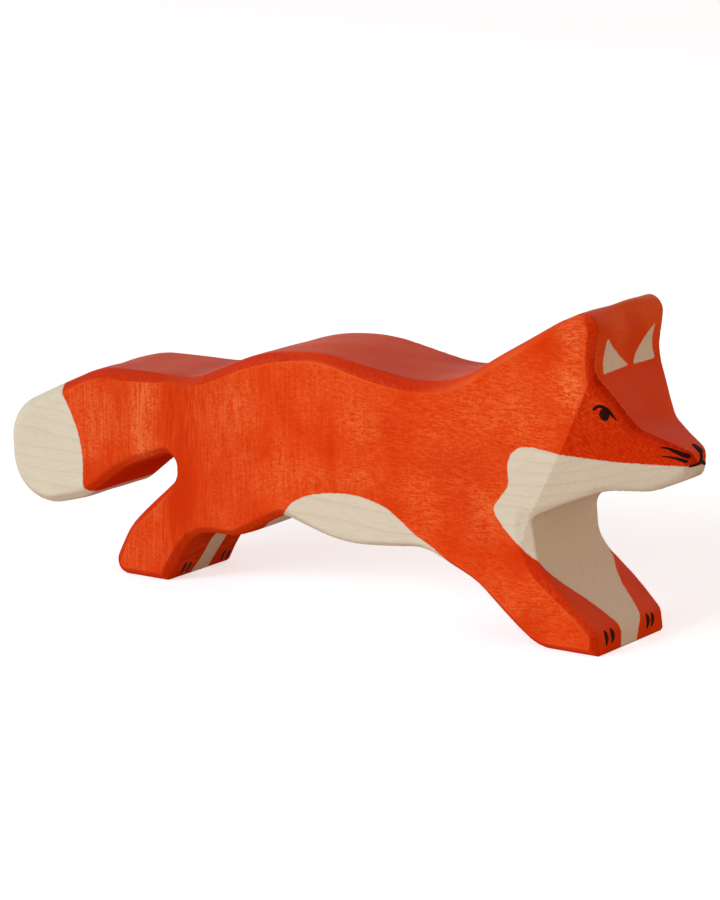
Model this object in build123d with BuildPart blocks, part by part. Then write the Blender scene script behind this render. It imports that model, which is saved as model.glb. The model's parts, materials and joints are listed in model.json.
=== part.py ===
"""Running fox figurine, sawn from one plank and painted, in millimetres.

The fox runs towards +X, its right side faces -Y, and its paws stand on Z = 0. The origin is on the
ground under the middle of the figure. One piece of wood carries everything: the side outline is sawn
through the plank, the flanks are sanded in behind the rump and towards the muzzle, a shallow flute
between the ears leaves two ear tips, and the sharp edges are broken all round. The eyes, lids,
whiskers, nose, mouth and claws are brushed on in thick black paint, and each stroke is a film of its
own that follows the wood under it.
"""
from build123d import *
import math
import os

os.makedirs("parts", exist_ok=True)

# Driving sizes of the blank
figure_length = 165.0
figure_height = 69.0
plank_thickness = 28.0

# Broken edges: the body all round, and the finer edges of the head
body_bevel = 2.4
head_bevel = 1.6

# The sanded haunches: the flank falls in behind the rump, so that tail and hind paw are thinner
haunch_depth = 1.7
haunch_run = 12.0

# The sanded cheeks, which narrow the head towards the muzzle, and how far their edge leans forward
cheek_angle = 23.3
cheek_lean = 20.3

# The flute between the ears
ear_flute_radius = 45.0
ear_flute_tilt = 22.9

# Painted marks
paint_thickness = 0.2
eye_width = 1.9
eye_height = 2.5
lid_width = 0.65
lid_gap = 0.15
whisker_width = 0.6
nose_width = 2.2
nose_height = 1.8
mouth_width = 0.7
claw_width = 1.0
claw_slant = 4.0

# The slope that the paint on nose and front claws faces
nose_slope = 25.0

# One overrun serves every cut
overrun = 5.0

# The sawn outline, corner by corner, from the ear tip along the back to the tail and back under the
# body: how far along the figure from the tail's end, how far up from the ground, and how round the
# corner is, as shares of the length, of the height and of the outline's size.
outline_shares = (
    ("ear tip", 0.9028, 1.0272, 0.028),
    ("nape", 0.8467, 0.9623, 0.281),
    ("neck", 0.6758, 0.7174, 0.281),
    ("back", 0.4509, 0.8072, 0.431),
    ("rump", 0.3030, 0.6507, 0.225),
    ("tail top", 0.1467, 0.6435, 0.187),
    ("tail end above", 0.0, 0.4754, 0.103),
    ("tail end below", 0.0, 0.1391, 0.094),
    ("tail belly", 0.1255, 0.2261, 0.075),
    ("tail hollow", 0.1873, 0.3362, 0.112),
    ("crotch above", 0.2673, 0.4145, 0.022),
    ("crotch below", 0.2673, 0.3246, 0.033),
    ("thigh", 0.1921, 0.1580, 0.141),
    ("heel", 0.1624, 0.0, 0.028),
    ("hind toe", 0.2545, 0.0, 0.0),
    ("shin", 0.2988, 0.1754, 0.103),
    ("groin", 0.3715, 0.1797, 0.075),
    ("flank", 0.4448, 0.2717, 0.037),
    ("belly", 0.5424, 0.2145, 0.281),
    ("elbow", 0.6570, 0.2464, 0.112),
    ("forearm", 0.7327, 0.1696, 0.187),
    ("wrist", 0.8212, 0.0, 0.075),
    ("front sole", 0.9067, 0.0, 0.0),
    ("front toe", 0.9050, 0.0680, 0.028),
    ("chest", 0.8170, 0.2464, 0.084),
    ("throat", 0.8091, 0.3812, 0.024),
    ("jaw", 0.8982, 0.4768, 0.075),
    ("lower lip", 0.9497, 0.4768, 0.094),
    ("chin", 1.0, 0.5319, 0.028),
    ("nose", 1.0, 0.5993, 0.028),
    ("stop", 0.9382, 0.6667, 0.047),
    ("brow", 0.8939, 0.8304, 0.075),
)

# Where the sanding starts: behind the rump, at the foot of the cheeks, and at the crown of the head
haunch_share = 0.3230
cheek_foot_share = 0.8240
cheek_foot_up_share = 0.3700
crown_share = 0.8842
crown_up_share = 0.9975

# Painted marks seen from the side, along the length and up
eye_share = 0.9059
eye_up_share = 0.7083
upper_whisker_shares = ((0.9639, 0.6167), (0.9794, 0.6043), (0.9927, 0.5885))
lower_whisker_shares = ((0.9648, 0.5906), (0.9809, 0.5855), (0.9915, 0.5750))

# The lid, seen from the eye's middle, in widths and heights of the eye
lid_shares = ((-1.042, 0.142), (-0.200, 0.502), (1.160, -0.605))

# Painted marks seen from the front, across half the thickness and up
nose_up_share = 0.6050
lip_up_share = 0.5725
mouth_corner_shares = (0.1070, 0.5660)
mouth_end_shares = (0.2290, 0.5600)
front_claw_shares = {"right": (0.518, 0.679), "left": (0.457, 0.593)}
front_claw_up_shares = (0.0290, 0.0640)
hind_claw_shares = {"right": (0.379, 0.511), "left": (0.521, 0.668)}
hind_claw_up_shares = (0.0160, 0.0420)


def along(share):
    """X of a point that lies this share of the length ahead of the tail's end."""
    return (share - 0.5) * figure_length


def up(share):
    """Z of a point at this share of the height."""
    return share * figure_height


def across(share):
    """Y of a point at this share of half the plank's thickness."""
    return share * half


half = plank_thickness / 2
outline_size = math.sqrt(figure_length * figure_height)
corners = [(along(x), up(z)) for name, x, z, bend in outline_shares]
bends = [bend * outline_size for name, x, z, bend in outline_shares]


def bevelled_plank(reach, bevel):
    """The sawn plank, this far to each side of the middle, with its outline's edges broken."""
    with BuildPart() as plank:
        with BuildSketch(Plane.XZ):
            with BuildLine():
                FilletPolyline(*corners, radius=bends, close=True)
            make_face()
        extrude(amount=reach, both=True)
        flanks = plank.faces().sort_by(Axis.Y)
        chamfer(flanks[0].edges() + flanks[-1].edges(), length=bevel)
    return plank.part


def leaned_in(plank, start, by_x, by_z):
    """The plank sheared along Y, so that its right flank turns about a line on its start point.

    Every point moves in by this much per millimetre ahead of the start, and per millimetre above it.
    The sawn walls stay in place, and a broken edge stays as broad as it was.
    """
    back = -by_x * start[0] - by_z * start[1]
    return plank.transform_geometry(Matrix([[1, 0, 0, 0], [by_x, 1, by_z, back], [0, 0, 1, 0]]))


def zone(*outline, near=0):
    """A block over an outline in the view from the right, from beyond the right flank to this Y."""
    with BuildPart() as block:
        with BuildSketch(Plane.XZ.offset(-near)):
            with BuildLine():
                Polyline(*outline, close=True)
            make_face()
        extrude(amount=near + half + overrun)
    return block.part


# Borders of the zones: behind the rump, at the end of the haunch's slope, and round the head. The
# head is all that lies above the throat and ahead of the cheeks' edge.
rump_x = along(haunch_share)
haunch_end_x = rump_x - haunch_run
tail_x = along(0) - overrun
muzzle_x = along(1) + overrun
floor_z = -overrun
sky_z = figure_height + overrun
narrowing = math.tan(math.radians(cheek_angle))
lean = math.tan(math.radians(cheek_lean))
cheek_x = along(cheek_foot_share)
cheek_z = up(cheek_foot_up_share)
cheek_top_x = cheek_x + lean * (sky_z - cheek_z)
head_outline = ((cheek_x, cheek_z), (cheek_top_x, sky_z), (muzzle_x, sky_z), (muzzle_x, cheek_z))
slope_outline = ((haunch_end_x, floor_z), (rump_x, floor_z), (rump_x, sky_z), (haunch_end_x, sky_z))
thin_outline = ((tail_x, floor_z), (haunch_end_x, floor_z), (haunch_end_x, sky_z), (tail_x, sky_z))
body_outline = ((rump_x, floor_z), (muzzle_x, floor_z), (muzzle_x, sky_z), (rump_x, sky_z))

# Right half of the sloped haunch, and of the head with its cheek sanded in towards the muzzle
full_plank = bevelled_plank(half, body_bevel)
haunch_slope = haunch_depth / haunch_run
with BuildPart() as right_haunch:
    add(leaned_in(full_plank, (rump_x, 0), -haunch_slope, 0))
    add(zone(*slope_outline), mode=Mode.INTERSECT)
with BuildPart() as right_head:
    add(leaned_in(bevelled_plank(half, head_bevel), (cheek_x, cheek_z), narrowing, -narrowing * lean))
    add(zone(*head_outline), mode=Mode.INTERSECT)

# Thinner tail and hind paw, and the body from the rump on
with BuildPart() as thin_end:
    add(bevelled_plank(half - haunch_depth, body_bevel))
    add(zone(*thin_outline, near=half + overrun), mode=Mode.INTERSECT)
with BuildPart() as trunk:
    add(full_plank)
    add(zone(*body_outline, near=half + overrun), mode=Mode.INTERSECT)
    add(zone(*head_outline, near=half + overrun), mode=Mode.SUBTRACT)

# The wooden body in one piece, with the flute that parts the ears
ear_flute_rake = math.radians(ear_flute_tilt)
ear_flute_plane = Plane(
    origin=(along(crown_share), 0, up(crown_up_share)),
    x_dir=(0, 1, 0),
    z_dir=(math.sin(ear_flute_rake), 0, -math.cos(ear_flute_rake)),
)
outline_heights = {name: up(z) for name, x, z, bend in outline_shares}
ear_rise = figure_height - outline_heights["brow"]
with BuildPart() as wooden_body:
    add(trunk.part)
    add(thin_end.part)
    for right_half in (right_haunch, right_head):
        add(right_half.part)
        mirror(right_half.part, about=Plane.XZ)
    with BuildSketch(ear_flute_plane):
        with Locations((0, ear_flute_radius)):
            Circle(ear_flute_radius)
    extrude(amount=ear_rise, both=True, mode=Mode.SUBTRACT)

# The wood's surface raised by the paint: out of the right cheek, out of the nose, and forward
cheek_lift = Vector(narrowing, -1, -narrowing * lean).normalized() * paint_thickness
nose_rake = math.radians(nose_slope)
nose_lift = Vector(math.cos(nose_rake), 0, math.sin(nose_rake)) * paint_thickness
toe_lift = Vector(1, 0, 0) * paint_thickness
raised_cheek = wooden_body.part.moved(Location(cheek_lift))
raised_nose = wooden_body.part.moved(Location(nose_lift))
raised_toe = wooden_body.part.moved(Location(toe_lift))

# Right eye, an upright oval on the cheek
with BuildPart() as eye_right:
    with BuildSketch(Plane.XZ):
        with Locations((along(eye_share), up(eye_up_share))):
            Ellipse(eye_width / 2, eye_height / 2)
    extrude(amount=half)
    add(raised_cheek, mode=Mode.INTERSECT)
    add(wooden_body.part, mode=Mode.SUBTRACT)


def lid_point(across_share, up_share):
    """A point on the middle of the lid's stroke, which clears the eye by the lid's gap."""
    clear_of_eye = lid_width / 2 + lid_gap
    return (
        along(eye_share) + across_share * eye_width,
        up(eye_up_share) + up_share * eye_height + clear_of_eye,
    )


def cheek_stroke(points, line_width):
    """One stroke of paint on the right cheek, along a smooth line through the points."""
    with BuildPart() as paint:
        with BuildSketch(Plane.XZ):
            with BuildLine():
                Spline(*points)
            trace(line_width=line_width)
        extrude(amount=half)
        add(raised_cheek, mode=Mode.INTERSECT)
        add(wooden_body.part, mode=Mode.SUBTRACT)
    return paint.part


# Right lid, arched over the eye, and two right whiskers on the muzzle
lid_right = cheek_stroke([lid_point(*shares) for shares in lid_shares], lid_width)
upper_whisker_right = cheek_stroke([(along(x), up(z)) for x, z in upper_whisker_shares], whisker_width)
lower_whisker_right = cheek_stroke([(along(x), up(z)) for x, z in lower_whisker_shares], whisker_width)

# Nose and mouth in one stroke of paint: a patch, a line down from it and a line to each corner
with BuildPart() as nose_and_mouth:
    with BuildSketch(Plane.YZ.offset(along(1) - overrun)):
        with Locations((0, up(nose_up_share))):
            Ellipse(nose_width / 2, nose_height / 2)
        with BuildLine():
            Line((0, up(nose_up_share)), (0, up(lip_up_share)))
        trace(line_width=mouth_width)
        with BuildLine():
            Polyline(
                (0, up(lip_up_share)),
                (across(mouth_corner_shares[0]), up(mouth_corner_shares[1])),
                (across(mouth_end_shares[0]), up(mouth_end_shares[1])),
            )
            mirror(about=Plane.YZ)
        trace(line_width=mouth_width)
    extrude(amount=2 * overrun)
    add(raised_nose, mode=Mode.INTERSECT)
    add(wooden_body.part, mode=Mode.SUBTRACT)


def claw_mark(toe_share, side, out_share, up_shares, raised):
    """One claw, on the side -1 for right or 1 for left: a stroke on the toe that leans out."""
    foot, top = up(up_shares[0]), up(up_shares[1])
    slant = (top - foot) * math.tan(math.radians(claw_slant))
    with BuildPart() as claw:
        with BuildSketch(Plane.YZ.offset(along(toe_share) - overrun)):
            with BuildLine():
                Line((side * across(out_share), foot), (side * (across(out_share) + slant), top))
            trace(line_width=claw_width)
        extrude(amount=2 * overrun)
        add(raised, mode=Mode.INTERSECT)
        add(wooden_body.part, mode=Mode.SUBTRACT)
    return claw.part


# The left side of the face repeats the right one in the mirror
marks = {"nose_and_mouth": nose_and_mouth.part}
right_marks = {
    "eye": eye_right.part,
    "lid": lid_right,
    "upper_whisker": upper_whisker_right,
    "lower_whisker": lower_whisker_right,
}
for name, right_mark in right_marks.items():
    marks[name + "_right"] = right_mark
    with BuildPart() as left_mark:
        mirror(right_mark, about=Plane.XZ)
    marks[name + "_left"] = left_mark.part

# Two claws on each paw, placed by hand, so that left and right differ a little
toe_shares = {name: x for name, x, z, bend in outline_shares}
for side, way in (("right", -1), ("left", 1)):
    for place, front_share, hind_share in zip(
        ("inner", "outer"), front_claw_shares[side], hind_claw_shares[side]
    ):
        marks["front_claw_" + place + "_" + side] = claw_mark(
            toe_shares["front toe"], way, front_share, front_claw_up_shares, raised_nose
        )
        marks["hind_claw_" + place + "_" + side] = claw_mark(
            toe_shares["hind toe"], way, hind_share, hind_claw_up_shares, raised_toe
        )

wooden_body.part.label = "wooden_body"
export_step(wooden_body.part, "parts/wooden_body.step")
for name, mark in marks.items():
    mark.label = name
    export_step(mark, "parts/" + name + ".step")
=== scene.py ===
# %% [markdown]
# # A running fox, sawn from a plank and painted
# The toy is a single piece of pale wood. It was sawn to its side outline, sanded on a drum, stained
# orange by hand and given its face and claws with a fine black brush. This notebook dresses the
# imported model: the sanded wood, the stain with its brushed borders, and every black stroke.

# %% Load the frame and keep its box
import json

import bmesh
import bpy
import numpy as np
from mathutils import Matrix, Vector

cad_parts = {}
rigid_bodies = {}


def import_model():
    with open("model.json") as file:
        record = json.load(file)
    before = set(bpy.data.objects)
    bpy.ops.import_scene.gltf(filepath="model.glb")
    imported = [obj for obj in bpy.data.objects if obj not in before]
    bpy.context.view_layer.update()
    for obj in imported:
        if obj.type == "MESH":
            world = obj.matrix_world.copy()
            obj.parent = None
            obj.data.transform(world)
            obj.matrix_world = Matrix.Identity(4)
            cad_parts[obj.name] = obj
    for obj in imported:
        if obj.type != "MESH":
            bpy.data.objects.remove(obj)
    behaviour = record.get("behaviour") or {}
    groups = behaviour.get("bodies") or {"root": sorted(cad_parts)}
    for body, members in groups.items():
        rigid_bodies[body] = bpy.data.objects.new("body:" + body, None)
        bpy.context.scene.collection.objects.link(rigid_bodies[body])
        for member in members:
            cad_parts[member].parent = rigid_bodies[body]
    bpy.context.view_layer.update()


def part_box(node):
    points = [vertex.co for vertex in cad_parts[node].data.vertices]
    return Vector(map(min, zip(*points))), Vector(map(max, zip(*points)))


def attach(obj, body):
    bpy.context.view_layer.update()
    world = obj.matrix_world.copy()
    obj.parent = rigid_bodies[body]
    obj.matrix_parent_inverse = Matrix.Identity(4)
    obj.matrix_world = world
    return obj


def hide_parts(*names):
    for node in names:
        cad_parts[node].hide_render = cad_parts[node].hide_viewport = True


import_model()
MM = 0.001
low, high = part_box("wooden_body")
LENGTH = (high.x - low.x) / MM
HALF = (high.y - low.y) / 2 / MM
TOP_SHARE = 0.9975
HEIGHT = (high.z - low.z) / TOP_SHARE / MM
print("length, thickness and height in mm:", round(LENGTH), round(2 * HALF), round(HEIGHT))

# %% [markdown]
# ## The sawn outline
# A band saw follows one closed line through the plank. That line is easiest to keep as a short list
# of corners, each with the radius of its round, because a designer can move a corner by hand. The
# distance from any point to that line is then worked out from straight runs and arcs.

# %% Corners of the outline: share along, share up, radius as a share of the length
OUTLINE = np.array((
    (0.9028, 1.0272, 0.0181),
    (0.8467, 0.9623, 0.1818),
    (0.6758, 0.7174, 0.1818),
    (0.4509, 0.8072, 0.2788),
    (0.3030, 0.6507, 0.1455),
    (0.1467, 0.6435, 0.1212),
    (0.0, 0.4754, 0.0667),
    (0.0, 0.1391, 0.0606),
    (0.1255, 0.2261, 0.0485),
    (0.1873, 0.3362, 0.0727),
    (0.2673, 0.4145, 0.0145),
    (0.2673, 0.3246, 0.0212),
    (0.1921, 0.1580, 0.0909),
    (0.1624, 0.0, 0.0181),
    (0.2545, 0.0, 0.0),
    (0.2988, 0.1754, 0.0667),
    (0.3715, 0.1797, 0.0485),
    (0.4448, 0.2717, 0.0242),
    (0.5424, 0.2145, 0.1818),
    (0.6570, 0.2464, 0.0727),
    (0.7327, 0.1696, 0.1212),
    (0.8212, 0.0, 0.0485),
    (0.9067, 0.0, 0.0),
    (0.9050, 0.0680, 0.0181),
    (0.8170, 0.2464, 0.0545),
    (0.8091, 0.3812, 0.0158),
    (0.8982, 0.4768, 0.0485),
    (0.9497, 0.4768, 0.0606),
    (1.0, 0.5319, 0.0181),
    (1.0, 0.5993, 0.0181),
    (0.9382, 0.6667, 0.0303),
    (0.8939, 0.8304, 0.0485),
))
CORNERS = np.stack([(OUTLINE[:, 0] - 0.5) * LENGTH, OUTLINE[:, 1] * HEIGHT], -1)
RADII = OUTLINE[:, 2] * LENGTH

# %% Runs joined by arcs


def unit(vectors):
    """Vectors in the same directions, each with a length of 1."""
    return vectors / np.linalg.norm(vectors, axis=-1, keepdims=True)


def rounded_line(corners, radii, steps=24):
    """The closed line through the corners, each replaced by an arc that touches both its runs.

    A round of radius r in a corner of angle a starts r / tan(a / 2) before the corner. Its centre
    lies on the bisector, r / sin(a / 2) from the corner.
    """
    back = unit(np.roll(corners, 1, 0) - corners)
    ahead = unit(np.roll(corners, -1, 0) - corners)
    half_angle = np.arccos((back * ahead).sum(1)) / 2
    centre = corners + unit(back + ahead) * (radii / np.sin(half_angle))[:, None]
    start = corners + back * (radii / np.tan(half_angle))[:, None] - centre
    end = corners + ahead * (radii / np.tan(half_angle))[:, None] - centre
    first = np.arctan2(start[:, 1], start[:, 0])
    turn = np.arctan2(end[:, 1], end[:, 0]) - first
    turn = (turn + np.pi) % (2 * np.pi) - np.pi
    angle = first[:, None] + turn[:, None] * np.linspace(0, 1, steps)
    arc = np.stack([np.cos(angle), np.sin(angle)], -1) * radii[:, None, None]
    return (centre[:, None] + arc).reshape(-1, 2)


SAW_LINE = rounded_line(CORNERS, RADII)
print("points on the saw line:", len(SAW_LINE))

# %% Distance to a closed line, with a sign


def signed_distance(points, line):
    """Distance from each point to a closed line, positive inside it.

    Per run of the line, the nearest point is the foot of the perpendicular, held within the run. A
    point is inside when a ray from it crosses the line an odd number of times.
    """
    nearest = np.full(len(points), np.inf)
    crossings = np.zeros(len(points), int)
    px, pz = points.T
    for (ax, az), (bx, bz) in zip(line, np.roll(line, -1, 0)):
        dx, dz = bx - ax, bz - az
        if dx == 0 and dz == 0:
            continue
        along = np.clip(((px - ax) * dx + (pz - az) * dz) / (dx * dx + dz * dz), 0, 1)
        gap = (px - ax - along * dx) ** 2 + (pz - az - along * dz) ** 2
        np.minimum(nearest, gap, out=nearest)
        if dz:
            crossings += ((az > pz) != (bz > pz)) & (px < ax + (pz - az) * dx / dz)
    return np.where(crossings % 2, 1, -1) * np.sqrt(nearest)


# %% A chart of that distance, read by interpolation
CHART_STEP = 0.25
CHART_MARGIN = 3.0
LAST_CELL = 1.001
chart_x = np.arange(-LENGTH / 2 - CHART_MARGIN, LENGTH / 2 + CHART_MARGIN, CHART_STEP)
chart_z = np.arange(-CHART_MARGIN, HEIGHT + CHART_MARGIN, CHART_STEP)
chart_points = np.stack(np.meshgrid(chart_x, chart_z, indexing="ij"), -1).reshape(-1, 2)


def chart_of(line):
    """The signed distance to a closed line, on every knot of the chart."""
    return signed_distance(chart_points, line).reshape(len(chart_x), len(chart_z))


def read_chart(chart, x, z):
    """The chart between its knots: the mean of the four round a point, weighted by nearness.

    A point off the chart is read just inside its first or last cell.
    """
    u = np.clip((x - chart_x[0]) / CHART_STEP, 0, len(chart_x) - LAST_CELL)
    v = np.clip((z - chart_z[0]) / CHART_STEP, 0, len(chart_z) - LAST_CELL)
    i, j = u.astype(int), v.astype(int)
    s, t = u - i, v - j
    low_side = chart[i, j] * (1 - t) + chart[i, j + 1] * t
    high_side = chart[i + 1, j] * (1 - t) + chart[i + 1, j + 1] * t
    return low_side * (1 - s) + high_side * s


saw_chart = chart_of(SAW_LINE)
print("deepest point of the outline in mm:", round(float(saw_chart.max()), 1))

# %% [markdown]
# ## The sanded form
# After sawing, the sides of the plank are worked on a drum. Behind the rump the drum bites in and
# thins the tail. On the head it takes a wedge off each cheek, so that the muzzle comes to a point.
# Between the ears it leaves a flute. At last all sharp edges are broken. Each of these is a depth
# below one surface, and the wood is wherever all depths are positive, so the form is the least of
# them. Taking that least value softly gives the edges the small round that sandpaper leaves.

# %% Places and sizes of the sanding, in millimetres
HAUNCH_X = (0.3230 - 0.5) * LENGTH
HAUNCH_RUN = 10.6
HAUNCH_DEPTH = 1.7
CHEEK_Z = 0.37 * HEIGHT
CHEEK_FADE_Z = (CHEEK_Z - 9.5, CHEEK_Z - 3.5)
CHEEK_EDGE_Z = (20.0, 23.8, 26.4, 29.3, 33.4, 37.4, 41.4, 45.5, 50.9, 56.4, 70.0)
CHEEK_EDGE_X = (49.4, 49.9, 51.0, 52.7, 54.7, 56.7, 58.6, 60.4, 62.7, 65.0, 70.6)
CHEEK_SLOPE = 0.43
CHEEK_LEAN = 0.42
CHEEK_TURN = 4.0
CROWN = np.array(((0.8842 - 0.5) * LENGTH, 0.0, TOP_SHARE * HEIGHT))
FLUTE_RADIUS = 45.0
FLUTE_RAKE = np.radians(22.9)
FLUTE_WAY = np.array((np.cos(FLUTE_RAKE), 0, np.sin(FLUTE_RAKE)))
FLUTE_FOOT = 0.86 * HEIGHT

# %% Soft steps between two values, and the small rounds that sandpaper leaves on edges
SAW_ROUND = 0.2
EDGE_ROUND = 0.32
FLUTE_ROUND = 0.5


def smooth_step(value, start, end):
    """0 before start, 1 after end, and a smooth S between them."""
    t = np.clip((value - start) / (end - start), 0, 1)
    return t * t * (3 - 2 * t)


def toward(value, goal, share):
    """A value moved by a share of the way, from 0 to 1, to a goal."""
    return value + (goal - value) * share


def soft_least(a, b, reach):
    """The lesser of two depths, rounded off where they differ by less than the reach."""
    h = np.clip(0.5 + 0.5 * (b - a) / reach, 0, 1)
    return b + (a - b) * h - reach * h * (1 - h)


# %% The wedge off the cheek, and the bite behind the rump


def ahead_of_cheek(x, z):
    """How far along X a point lies ahead of the cheek's edge, which leans forward as it rises."""
    return x - np.interp(z, CHEEK_EDGE_Z, CHEEK_EDGE_X)


def cheek_run(x, z):
    """How far the wedge off the cheek has run at a point. It fades in above the front leg."""
    return np.maximum(ahead_of_cheek(x, z), 0) * smooth_step(z, *CHEEK_FADE_Z)


def half_thickness(x, z):
    """Half the width of the wood: the plank's, less the drum's bite behind the rump and the cheek.

    The bite is an arc that starts steeply at the rump's edge and runs out level into the tail.
    """
    into_tail = np.clip((HAUNCH_X - x) / HAUNCH_RUN, 0, 1)
    bite = HAUNCH_DEPTH * (1 - (1 - into_tail) ** 2)
    return HALF - bite - CHEEK_SLOPE * cheek_run(x, z)


measured = half_thickness(np.array((-LENGTH / 2, 0.0, LENGTH / 2)), HEIGHT / 2)
print("half thickness at tail, belly and muzzle in mm:", measured.round(1))

# %% Hand work: slow waves that no machine leaves
WAVE_SEED = 7
WAVE_COUNT = 9
WAVE_HEIGHT = 0.035
WAVE_LENGTHS = (9.0, 34.0)
WAVE_FADE_Z = (0.5, 4.0)
waves = np.random.default_rng(WAVE_SEED)
wave_ways = unit(waves.normal(size=(WAVE_COUNT, 3)))
wave_ways *= 2 * np.pi / waves.uniform(*WAVE_LENGTHS, size=(WAVE_COUNT, 1))
wave_starts = waves.uniform(0, 2 * np.pi, WAVE_COUNT)


def hand_wave(p):
    """The sum of a few slow sine waves in any direction, a fraction of a millimetre high.

    It dies away above the soles, which stay flat.
    """
    swell = WAVE_HEIGHT * np.sin(p @ wave_ways.T + wave_starts).sum(-1)
    return swell * smooth_step(p[:, 2], *WAVE_FADE_Z)


# %% [markdown]
# ## Bevels of a hand that varies
# Every edge of the toy is broken, but not evenly: slightly on the tail and back, broadly down the
# chest, finely at belly, jaw and soles. Each of these widths holds in one place and goes over into
# the next without a step, so the places are soft zones along X and up Z, laid one over the other.

# %% Widths of the bevels, and the tilts where one goes in less than it goes across
TAIL_BEVEL = 1.7
BODY_BEVEL = 3.2
BACK_BEVEL = 1.9
NECK_BEVEL = 1.0
FACE_BEVEL = 1.8
TOE_BEVEL = 1.45
BELLY_BEVEL = 0.9
JAW_BEVEL = 0.9
SOLE_BEVEL = 1.3
CHEST_BEVEL_TILT = 0.5
FACE_BEVEL_TILT = 0.75

# %% Where each zone of the bevels starts: from nothing to full, along X and up Z
TAIL_TO_CHEST_X = (5.0, 48.0)
BACK_X, BACK_Z, NECK_X = (-35.0, -15.0), (32.0, 40.0), (28.0, 48.0)
FACE_X, FACE_Z = (60.0, 66.0), (CHEEK_Z, CHEEK_Z + 14.0)
JAW_X, JAW_Z = (48.0, 54.0), (39.0, 35.0)
PAW_X, PAW_Z = (42.0, 48.0), (21.0, 12.0)
BELLY_X, BELLY_Z = (-8.0, 4.0), (32.0, 26.0)
LEG_RAKE, LEG_BACK = 1.06, (63.0, 56.0)
SOLE_Z = (0.3, 4.0)
CHEST_X, CHEST_Z, CHEST_TOP_Z = (40.0, 52.0), (4.0, 11.0), (40.0, 33.0)
FLAT_FACE_X, FLAT_FACE_Z = (56.0, 64.0), (36.0, 44.0)


def zone(x, z, x_limits, z_limits):
    """1 in a place that starts softly both along X and up Z, and 0 outside it.

    Limits that fall, such as those up Z at the jaw, make it end there instead of start.
    """
    return smooth_step(x, *x_limits) * smooth_step(z, *z_limits)


def bevel_width(x, z):
    """The width of the bevel, as zone upon zone moves it towards the width that holds there."""
    width = toward(TAIL_BEVEL, BODY_BEVEL, smooth_step(x, *TAIL_TO_CHEST_X))
    back = toward(BACK_BEVEL, NECK_BEVEL, smooth_step(x, *NECK_X))
    width = toward(width, back, zone(x, z, BACK_X, BACK_Z))
    width = toward(width, FACE_BEVEL, zone(x, z, FACE_X, FACE_Z))
    at_jaw = zone(x, z, JAW_X, JAW_Z) * smooth_step(z, *CHEEK_FADE_Z)
    width = toward(width, JAW_BEVEL, at_jaw)
    width = toward(width, TOE_BEVEL, zone(x, z, PAW_X, PAW_Z))
    below = zone(x, z, BELLY_X, BELLY_Z) * smooth_step(x + LEG_RAKE * z, *LEG_BACK)
    width = toward(width, BELLY_BEVEL, below)
    return toward(SOLE_BEVEL, width, smooth_step(z, *SOLE_Z))


def bevel_tilt(x, z):
    """How far the bevel goes in for each millimetre across: even, but shallow down the chest."""
    tilt = toward(1.0, FACE_BEVEL_TILT, zone(x, z, FLAT_FACE_X, FLAT_FACE_Z))
    on_chest = zone(x, z, CHEST_X, CHEST_Z) * smooth_step(z, *CHEST_TOP_Z)
    return toward(tilt, CHEST_BEVEL_TILT, on_chest)


# %% The field: depth below the surface, in millimetres


def depths(p):
    """Depth below the sawn wall, below the flank, and across the bevel at each point.

    The bevel is the plane where the depth below the wall, plus that below the flank over the tilt,
    makes the bevel's width. Below the cheek's wedge, depth is less than the way across Y by the
    length of that wedge's normal, as the square root gives it.
    """
    x, y, z = p.T
    from_wall = read_chart(saw_chart, x, z)
    steepest = np.sqrt(1 + CHEEK_SLOPE ** 2 * (1 + CHEEK_LEAN ** 2))
    slant = toward(1.0, steepest, smooth_step(cheek_run(x, z), 0.0, CHEEK_TURN))
    from_flank = (half_thickness(x, z) - np.abs(y)) / slant
    return from_wall, from_flank, from_wall + from_flank / bevel_tilt(x, z) - bevel_width(x, z)


def depth(p):
    """The least of the depths below wall, flank, bevel, flute and ground, softly joined."""
    from_wall, from_flank, across = depths(p)
    tilt = bevel_tilt(p[:, 0], p[:, 2])
    from_bevel = across * tilt / np.hypot(1, tilt)
    least = soft_least(soft_least(from_wall, from_flank, SAW_ROUND), from_bevel, EDGE_ROUND)
    from_flute = np.hypot((p - CROWN) @ FLUTE_WAY - FLUTE_RADIUS, p[:, 1]) - FLUTE_RADIUS
    from_flute = np.where(p[:, 2] > FLUTE_FOOT, from_flute, EDGE_ROUND)
    least = soft_least(least, from_flute, FLUTE_ROUND)
    return np.minimum(least + hand_wave(p), p[:, 2])


def slope(p, reach=0.05):
    """The direction in which depth grows fastest, from the difference over a short reach."""
    step = np.eye(3) * reach
    return np.stack([(depth(p + s) - depth(p - s)) / (2 * reach) for s in step], -1)


# %% [markdown]
# ## From a field to a mesh
# A surface net is the simplest way to a clean skin of even quads. Every cell of a grid that the
# surface passes through gets one point, at the mean of where it cuts the cell's edges, and every
# edge of the grid that it cuts gets one quad. A few steps along the slope then put each point right
# on the surface, and the slope itself gives the normals, so that flats stay flat in the gloss.

# %% The eight corners of a cell, and its twelve edges as pairs of them
EDGE_ENDS = [(a, b) for a in range(8) for b in range(a + 1, 8) if bin(a ^ b).count("1") == 1]
CORNER = np.array([[(c >> 2) & 1, (c >> 1) & 1, c & 1] for c in range(8)])

# %% A surface net round the zero of a field


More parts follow.
